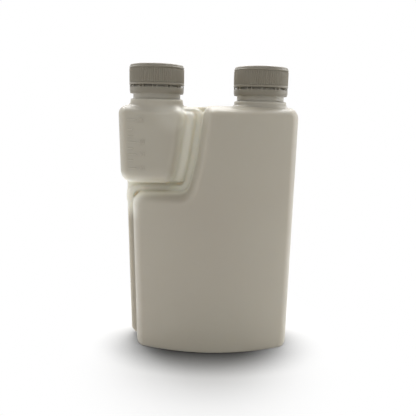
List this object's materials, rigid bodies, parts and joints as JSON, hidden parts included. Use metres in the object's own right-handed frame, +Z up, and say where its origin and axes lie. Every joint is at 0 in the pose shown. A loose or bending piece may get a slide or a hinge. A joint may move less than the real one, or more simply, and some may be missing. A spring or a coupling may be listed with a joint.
{
  "type": "twin-neck dosing bottle",
  "caption": "Translucent squeeze-fill bottle with a main reservoir, a small measuring chamber fed by a moulded-in tube, and ribbed tamper-evident screw caps on both necks.",
  "frame": {"origin": "middle of the footprint, on the surface that the bottle stands on", "axes": "+Z up through the necks, +X towards the reservoir's neck, -Y towards the front"},
  "size_m": [0.1354, 0.073, 0.2167],
  "materials": {
    "natural_plastic": "milky blow-moulded plastic, soft satin",
    "cap_plastic": "grey injection-moulded plastic, satin",
    "liner_foam": "white closed-cell foam"
  },
  "bodies": {
    "bottle": {"bottle": "natural_plastic", "dosing_tamper_ring": "cap_plastic", "filling_tamper_ring": "cap_plastic"},
    "dosing_liner": {"dosing_cap_liner": "liner_foam"},
    "dosing_cap": {"dosing_cap": "cap_plastic"},
    "filling_liner": {"filling_cap_liner": "liner_foam"},
    "filling_cap": {"filling_cap": "cap_plastic"}
  },
  "joints": [
    {"name": "dosing_cap_lift", "type": "slide", "parent": "bottle", "child": "dosing_liner", "axis": [0, 0, 1], "range_m": [0, 0.025]},
    {"name": "dosing_cap_turn", "type": "hinge", "parent": "dosing_liner", "child": "dosing_cap", "pos_m": [-0.03975, 0, 0.21], "axis": [0, 0, 1], "range_deg": [0, 2140]},
    {"name": "filling_cap_lift", "type": "slide", "parent": "bottle", "child": "filling_liner", "axis": [0, 0, 1], "range_m": [0, 0.025]},
    {"name": "filling_cap_turn", "type": "hinge", "parent": "filling_liner", "child": "filling_cap", "pos_m": [0.03975, 0, 0.21], "axis": [0, 0, 1], "range_deg": [0, 2140]}
  ],
  "couplings": [
    {"joint": "dosing_cap_lift", "follows": "dosing_cap_turn", "m_per_rad": 0.00066845},
    {"joint": "filling_cap_lift", "follows": "filling_cap_turn", "m_per_rad": 0.00066845}
  ]
}
